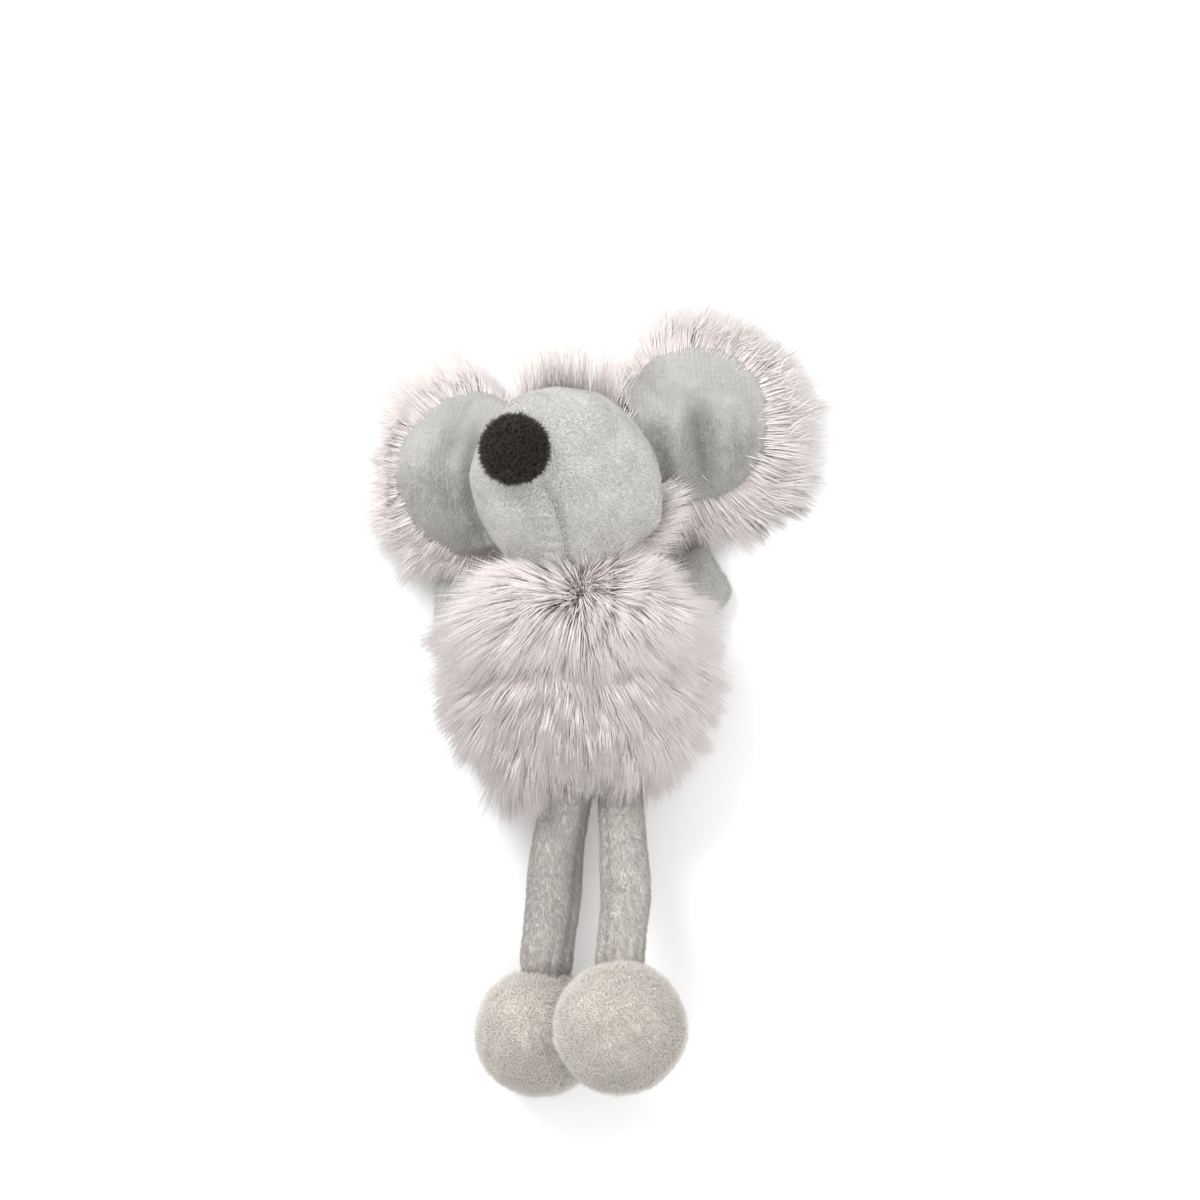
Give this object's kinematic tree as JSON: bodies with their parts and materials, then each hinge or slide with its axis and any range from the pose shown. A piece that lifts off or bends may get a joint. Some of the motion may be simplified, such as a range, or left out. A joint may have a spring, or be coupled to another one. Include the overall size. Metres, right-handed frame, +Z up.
{
  "type": "catnip mouse",
  "caption": "Limp plush cat toy shaped like a mouse, with big round ears, a shaggy body, a catnip sachet inside, and floppy head, arms and legs.",
  "frame": {"origin": "on the floor, under the flat back of the torso, with the toy lying on its back", "axes": "+Z up from the floor to the face, +Y from the feet to the top of the head, +X to the right of a viewer who looks down at the face"},
  "size_m": [0.0793, 0.1437, 0.048],
  "materials": {
    "long_fur": "long silky pile, pinkish light grey",
    "ear_velour": "short plush pile, cool light grey",
    "face_velour": "short plush pile, pale grey",
    "leg_velour": "short plush pile, warm light grey",
    "foot_pompom": "dense fuzzy pompom, warm grey",
    "nose_pompom": "dense fuzzy pompom, near black",
    "sewing_thread": "spun polyester thread",
    "fibre_filling": "white polyester fibre filling",
    "sachet_sheet": "thin nonwoven sheet",
    "catnip": "dried crumbled catnip leaf"
  },
  "bodies": {
    "torso": {"torso_front_fur": "long_fur", "torso_back_fur": "long_fur", "torso_stuffing": "fibre_filling", "sachet_front_sheet": "sachet_sheet", "sachet_back_sheet": "sachet_sheet", "catnip_filling": "catnip", "closing_stitches": "sewing_thread"},
    "neck": {"neck_gather": "ear_velour", "neck_thread": "sewing_thread"},
    "head": {"face_panel": "face_velour", "head_back_fur": "long_fur", "head_stuffing": "fibre_filling", "nose_pompom": "nose_pompom", "nose_thread": "sewing_thread", "chin_seam_thread": "sewing_thread"},
    "left_ear": {"left_ear_front": "ear_velour", "left_ear_back_fur": "long_fur", "left_ear_root_stitches": "sewing_thread"},
    "left_arm": {"left_arm_front": "ear_velour", "left_arm_back": "ear_velour", "left_shoulder_stitches": "sewing_thread"},
    "left_hip": {"left_hip_stitching": "sewing_thread"},
    "left_leg": {"left_leg_sleeve": "leg_velour", "left_leg_filling": "fibre_filling"},
    "left_foot": {"left_foot_pompom": "foot_pompom", "left_foot_tie": "sewing_thread"},
    "right_ear": {"right_ear_front": "ear_velour", "right_ear_back_fur": "long_fur", "right_ear_root_stitches": "sewing_thread"},
    "right_arm": {"right_arm_front": "ear_velour", "right_arm_back": "ear_velour", "right_shoulder_stitches": "sewing_thread"},
    "right_hip": {"right_hip_stitching": "sewing_thread"},
    "right_leg": {"right_leg_sleeve": "leg_velour", "right_leg_filling": "fibre_filling"},
    "right_foot": {"right_foot_pompom": "foot_pompom", "right_foot_tie": "sewing_thread"}
  },
  "joints": [
    {"name": "head_turn", "type": "hinge", "parent": "torso", "child": "neck", "pos_m": [-0.001, 0.0187, 0.013], "axis": [0, 1, 0], "range_deg": [-50, 50]},
    {"name": "head_nod", "type": "hinge", "parent": "neck", "child": "head", "pos_m": [-0.001, 0.0187, 0.013], "axis": [1, 0, 0], "range_deg": [0, 25]},
    {"name": "left_ear_fold", "type": "hinge", "parent": "head", "child": "left_ear", "pos_m": [-0.01829, 0.03828, 0.008], "axis": [0.0523, 0.9986, 0], "range_deg": [0, 45]},
    {"name": "right_ear_fold", "type": "hinge", "parent": "head", "child": "right_ear", "pos_m": [0.01328, 0.04414, 0.008], "axis": [0.4019, -0.9157, 0], "range_deg": [0, 45]},
    {"name": "left_arm_lift", "type": "hinge", "parent": "torso", "child": "left_arm", "pos_m": [-0.01793, 0.0126, 0.007], "axis": [0.0523, 0.9986, 0], "range_deg": [0, 50]},
    {"name": "right_arm_lift", "type": "hinge", "parent": "torso", "child": "right_arm", "pos_m": [0.01793, 0.0126, 0.007], "axis": [0.6428, -0.766, 0], "range_deg": [0, 50]},
    {"name": "left_leg_splay", "type": "hinge", "parent": "torso", "child": "left_hip", "pos_m": [-0.0029, -0.0232, 0.011], "axis": [0, 0, 1], "range_deg": [-30, 0]},
    {"name": "right_leg_splay", "type": "hinge", "parent": "torso", "child": "right_hip", "pos_m": [0.0074, -0.0228, 0.0124], "axis": [0, 0, 1], "range_deg": [0, 30]},
    {"name": "left_leg_lift", "type": "hinge", "parent": "left_hip", "child": "left_leg", "pos_m": [-0.0029, -0.0232, 0.011], "axis": [-1, 0, 0], "range_deg": [-65, 0]},
    {"name": "right_leg_lift", "type": "hinge", "parent": "right_hip", "child": "right_leg", "pos_m": [0.0074, -0.0228, 0.0124], "axis": [-1, 0, 0], "range_deg": [0, 65]},
    {"name": "left_foot_tip", "type": "hinge", "parent": "left_leg", "child": "left_foot", "pos_m": [-0.00609, -0.05188, 0.01107], "axis": [-1, 0, 0], "range_deg": [-30, 0]},
    {"name": "right_foot_tip", "type": "hinge", "parent": "right_leg", "child": "right_foot", "pos_m": [0.0074, -0.05134, 0.02431], "axis": [-1, 0, 0], "range_deg": [0, 30]}
  ]
}
